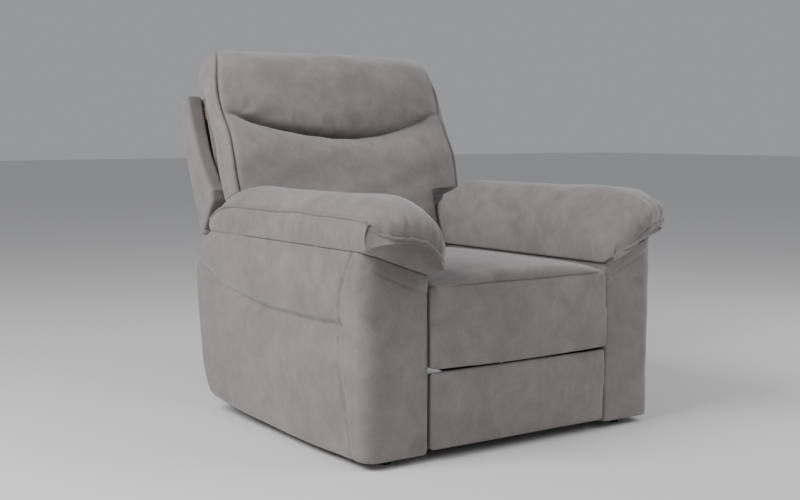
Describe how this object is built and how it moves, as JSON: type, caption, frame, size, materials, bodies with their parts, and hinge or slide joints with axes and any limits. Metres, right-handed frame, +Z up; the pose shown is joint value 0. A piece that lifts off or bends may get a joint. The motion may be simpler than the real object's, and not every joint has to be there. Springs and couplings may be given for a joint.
{
  "type": "recliner armchair",
  "caption": "Upholstered recliner armchair with padded arms, a gliding seat, a reclining back and a folding footrest on scissor links.",
  "frame": {"origin": "on the floor under the middle of the overall box at rest", "axes": "+Z up, the chair faces -Y, the sitter's left arm is at +X"},
  "size_m": [0.94, 1.1682, 1.045],
  "materials": {
    "upholstery": "brushed microfibre",
    "frame_wood": "planed hardwood and plywood",
    "mechanism": "black powder coat",
    "spring_wire": "drawn wire",
    "pins": "zinc plated",
    "feet": "matt"
  },
  "bodies": {
    "base": {"arm_outer_panel_left": "upholstery", "arm_inner_panel_left": "upholstery", "arm_edge_band_left": "upholstery", "arm_pad_left": "upholstery", "arm_posts_left": "frame_wood", "arm_rails_left": "frame_wood", "arm_outer_panel_right": "upholstery", "arm_inner_panel_right": "upholstery", "arm_edge_band_right": "upholstery", "arm_pad_right": "upholstery", "arm_posts_right": "frame_wood", "arm_rails_right": "frame_wood", "feet": "feet", "front_cross_rail": "frame_wood", "rear_cross_rail": "frame_wood", "mechanism_rail_left": "mechanism", "mechanism_rail_right": "mechanism", "rail_bolts": "pins", "swing_pivot_pins": "pins", "rear_valance": "upholstery"},
    "seat": {"side_plate_left": "mechanism", "side_plate_right": "mechanism", "seat_pivot_pins": "pins", "seat_side_rail_left": "frame_wood", "seat_side_rail_right": "frame_wood", "seat_front_rail": "frame_wood", "seat_rear_rail": "frame_wood", "seat_springs": "spring_wire", "seat_cushion": "upholstery", "seat_border": "upholstery"},
    "back": {"back_brackets": "mechanism", "back_post_left": "frame_wood", "back_post_right": "frame_wood", "back_rail_top": "frame_wood", "back_rail_bottom": "frame_wood", "back_springs": "spring_wire", "lumbar_cushion": "upholstery", "headrest_cushion": "upholstery", "back_outer_cover": "upholstery"},
    "swing_front": {"swing_links_front": "mechanism"},
    "swing_rear": {"swing_links_rear": "mechanism"},
    "drive_links": {"drive_link_left": "mechanism", "drive_link_right": "mechanism", "drive_tube": "mechanism", "drive_link_pins": "pins"},
    "rear_rising": {"rear_rising_links": "mechanism", "rear_link_pins": "pins"},
    "middle_rising": {"middle_rising_links": "mechanism", "middle_rising_pins": "pins"},
    "middle_falling": {"middle_falling_links": "mechanism", "middle_falling_pins": "pins"},
    "front_rising": {"front_rising_links": "mechanism"},
    "front_falling": {"front_falling_links": "mechanism"},
    "footrest": {"footrest_pad": "upholstery", "footrest_board": "frame_wood", "footrest_bracket_left": "mechanism", "footrest_bracket_right": "mechanism", "footrest_pins": "pins"}
  },
  "joints": [
    {"name": "seat_glide", "type": "slide", "parent": "base", "child": "seat", "axis": [0, -1, 0], "range_m": [0, 0.075]},
    {"name": "back_recline", "type": "hinge", "parent": "seat", "child": "back", "pos_m": [0, 0.2334, 0.33], "axis": [-1, 0, 0], "range_deg": [0, 29]},
    {"name": "swing_front_turn", "type": "hinge", "parent": "base", "child": "swing_front", "pos_m": [0, -0.186, 0.115], "axis": [1, 0, 0], "range_deg": [0, 39.88]},
    {"name": "swing_rear_turn", "type": "hinge", "parent": "base", "child": "swing_rear", "pos_m": [0, 0.1134, 0.115], "axis": [1, 0, 0], "range_deg": [0, 39.88]},
    {"name": "footrest_drive", "type": "hinge", "parent": "seat", "child": "drive_links", "pos_m": [0, -0.306, 0.203], "axis": [-1, 0, 0], "range_deg": [0, 72]},
    {"name": "rear_rising_turn", "type": "hinge", "parent": "drive_links", "child": "rear_rising", "pos_m": [0, -0.32298, 0.11564], "axis": [-1, 0, 0], "range_deg": [-144, 0]},
    {"name": "middle_rising_turn", "type": "hinge", "parent": "drive_links", "child": "middle_rising", "pos_m": [0, -0.33996, 0.02827], "axis": [-1, 0, 0], "range_deg": [-144, 0]},
    {"name": "middle_falling_turn", "type": "hinge", "parent": "rear_rising", "child": "middle_falling", "pos_m": [0, -0.33074, 0.2043], "axis": [-1, 0, 0], "range_deg": [0, 144]},
    {"name": "front_rising_turn", "type": "hinge", "parent": "middle_falling", "child": "front_rising", "pos_m": [0, -0.3647, 0.02957], "axis": [-1, 0, 0], "range_deg": [-144, 0]},
    {"name": "front_falling_turn", "type": "hinge", "parent": "middle_rising", "child": "front_falling", "pos_m": [0, -0.35548, 0.20559], "axis": [-1, 0, 0], "range_deg": [0, 144]},
    {"name": "footrest_tilt", "type": "hinge", "parent": "front_rising", "child": "footrest", "pos_m": [0, -0.37246, 0.11823], "axis": [-1, 0, 0], "range_deg": [0, 154]}
  ],
  "couplings": [
    {"joint": "back_recline", "follows": "seat_glide", "rad_per_m": 6.7486},
    {"joint": "swing_front_turn", "follows": "seat_glide", "rad_per_m": 9.2769},
    {"joint": "swing_rear_turn", "follows": "seat_glide", "rad_per_m": 9.2769},
    {"joint": "rear_rising_turn", "follows": "footrest_drive", "ratio": -2},
    {"joint": "middle_rising_turn", "follows": "footrest_drive", "ratio": -2},
    {"joint": "middle_falling_turn", "follows": "footrest_drive", "ratio": 2},
    {"joint": "front_rising_turn", "follows": "footrest_drive", "ratio": -2},
    {"joint": "front_falling_turn", "follows": "footrest_drive", "ratio": 2},
    {"joint": "footrest_tilt", "follows": "footrest_drive", "ratio": 2.1389}
  ]
}
